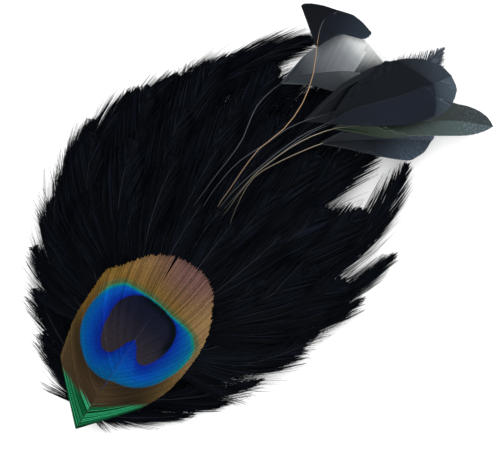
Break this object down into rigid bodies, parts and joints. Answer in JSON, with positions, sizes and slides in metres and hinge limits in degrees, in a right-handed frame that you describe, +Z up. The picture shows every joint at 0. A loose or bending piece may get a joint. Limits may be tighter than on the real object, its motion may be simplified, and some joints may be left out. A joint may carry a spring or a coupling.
{
  "type": "peacock feather pad",
  "caption": "Trimmed eye of a peacock feather on a fan of black hackle feathers, with a spray of trimmed feathers on bare quills, all on an oval felt backing.",
  "frame": {"origin": "centre of the oval backing, on its flat underside", "axes": "+Y along the peacock eye's shaft from its pointed end towards the fan of hackles, +Z up out of the backing, +X to the right seen from above"},
  "size_m": [0.1012, 0.152, 0.021],
  "materials": {
    "hackle": "black dyed cock hackle, soft loose barbs with a faint blue grey sheen",
    "trimmed_vane": "black dyed trimmed vane, close barbs, satin",
    "sheer_vane": "thin grey vane that lets light through",
    "olive_vane": "olive green trimmed vane, satin",
    "peacock_eye": "iridescent peacock eye: dark heart, blue and turquoise disc, bronze rim, emerald point",
    "felt": "black pressed felt"
  },
  "bodies": {
    "root": {"backing_felt": "felt", "hackle_fourth_01": "hackle", "hackle_fourth_02": "hackle", "hackle_fourth_03": "hackle", "hackle_fourth_04": "hackle", "hackle_fourth_05": "hackle", "hackle_fourth_06": "hackle", "hackle_fourth_07": "hackle", "hackle_rim_01": "hackle", "hackle_rim_02": "hackle", "hackle_rim_03": "hackle", "hackle_rim_04": "hackle", "hackle_rim_05": "hackle", "hackle_rim_06": "hackle", "hackle_rim_07": "hackle", "hackle_rim_08": "hackle", "hackle_rim_09": "hackle", "hackle_rim_10": "hackle", "hackle_rim_11": "hackle", "hackle_rim_12": "hackle", "hackle_rim_13": "hackle", "hackle_rim_14": "hackle", "hackle_rim_15": "hackle", "hackle_rim_16": "hackle", "hackle_rim_17": "hackle", "hackle_rim_18": "hackle", "hackle_rim_19": "hackle", "hackle_rim_20": "hackle", "hackle_second_01": "hackle", "hackle_second_02": "hackle", "hackle_second_03": "hackle", "hackle_second_04": "hackle", "hackle_second_05": "hackle", "hackle_second_06": "hackle", "hackle_second_07": "hackle", "hackle_second_08": "hackle", "hackle_second_09": "hackle", "hackle_second_10": "hackle", "hackle_third_01": "hackle", "hackle_third_02": "hackle", "hackle_third_03": "hackle", "hackle_third_04": "hackle", "hackle_third_05": "hackle", "hackle_third_06": "hackle", "hackle_third_07": "hackle", "hackle_third_08": "hackle", "hackle_third_09": "hackle", "hackle_top_01": "hackle", "hackle_top_02": "hackle", "hackle_top_03": "hackle", "hackle_top_04": "hackle", "hackle_top_05": "hackle", "peacock_eye": "peacock_eye", "spray_fan": "trimmed_vane", "spray_hackle": "hackle", "spray_low": "trimmed_vane", "spray_olive": "olive_vane", "spray_sheer": "sheer_vane", "spray_spade_back": "trimmed_vane", "spray_spade_front": "trimmed_vane"}
  },
  "joints": []
}
